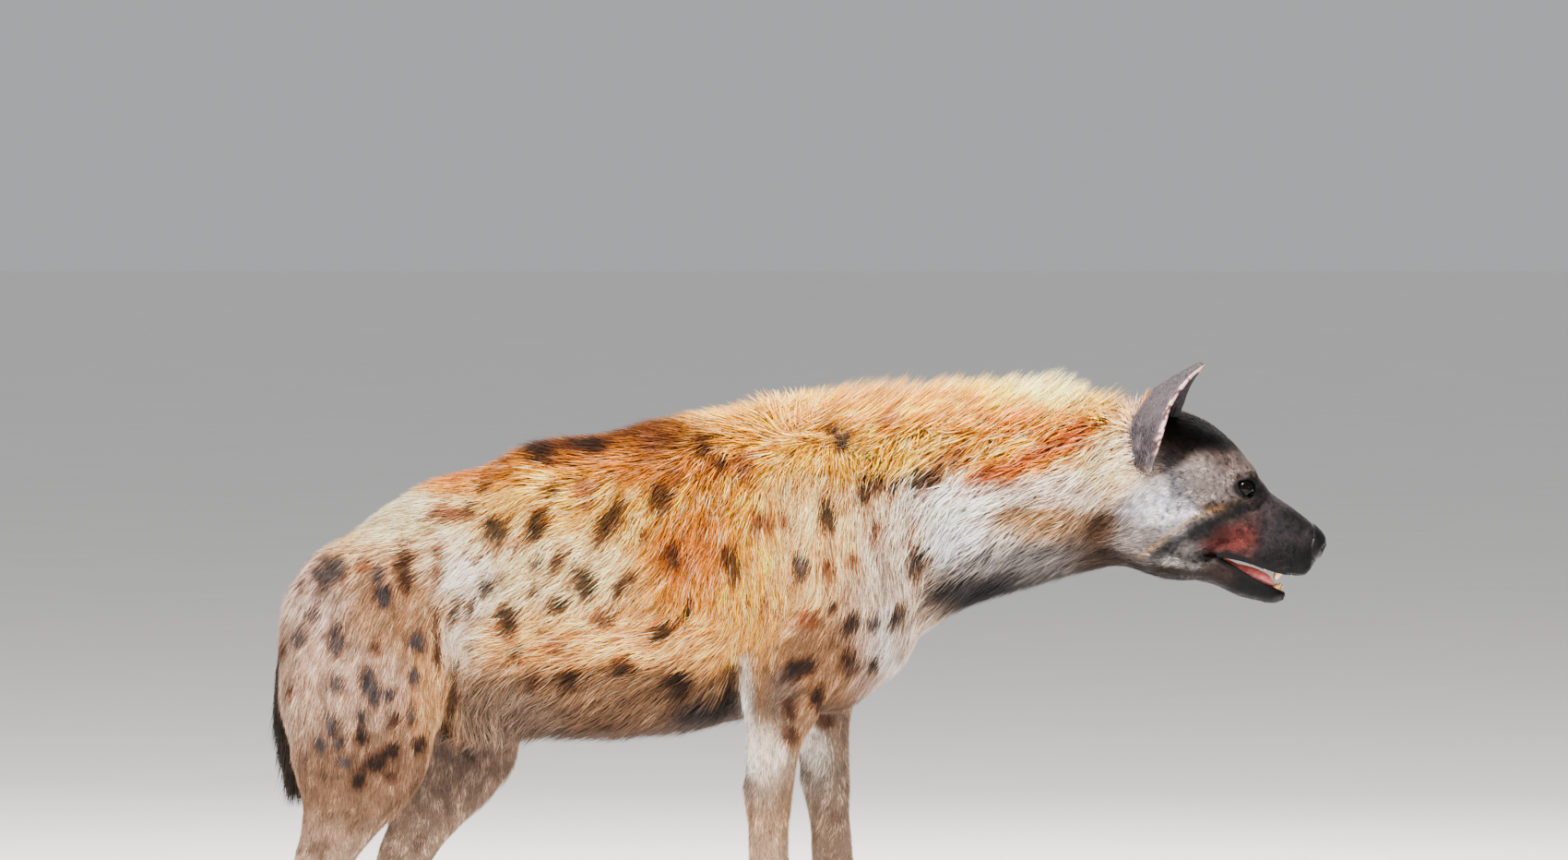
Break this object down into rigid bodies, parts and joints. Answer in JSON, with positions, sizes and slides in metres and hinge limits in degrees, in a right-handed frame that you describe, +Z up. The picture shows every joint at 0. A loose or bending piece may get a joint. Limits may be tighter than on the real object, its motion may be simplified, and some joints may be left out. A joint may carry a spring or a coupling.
{
  "type": "spotted hyena",
  "caption": "Life-size still model of a standing spotted hyena, neck stretched forward, mouth slightly open, with a nape mane and a brushed tail.",
  "frame": {"origin": "on the ground, under the middle of the whole model", "axes": "+X from the rump to the nose, +Y to the animal's left, +Z up"},
  "size_m": [1.2952, 0.3258, 0.8374],
  "materials": {
    "coat_body": "coarse tan coat with dark brown spots",
    "coat_neck": "long golden mane, whitish on the throat",
    "coat_face": "short grey-brown face, near black on the muzzle",
    "coat_ear": "short dark grey hair",
    "coat_leg": "short grey-brown coat with faded spots",
    "coat_tail": "long near black hair",
    "nose_skin": "moist grained skin",
    "mouth_flesh": "moist pink",
    "eye": "glossy dark brown",
    "tooth": "worn ivory",
    "claw": "blunt dark horn"
  },
  "bodies": {
    "root": {"torso": "coat_body", "neck": "coat_neck", "head": "coat_face", "lower_jaw": "coat_face", "nose": "nose_skin", "tongue": "mouth_flesh", "ear_right": "coat_ear", "ear_left": "coat_ear", "eye_right": "eye", "eye_left": "eye", "tail": "coat_tail", "foreleg_right": "coat_leg", "foreleg_left": "coat_leg", "hindleg_right": "coat_leg", "hindleg_left": "coat_leg", "paw_fore_right": "coat_leg", "paw_fore_left": "coat_leg", "paw_hind_right": "coat_leg", "paw_hind_left": "coat_leg"}
  },
  "joints": []
}
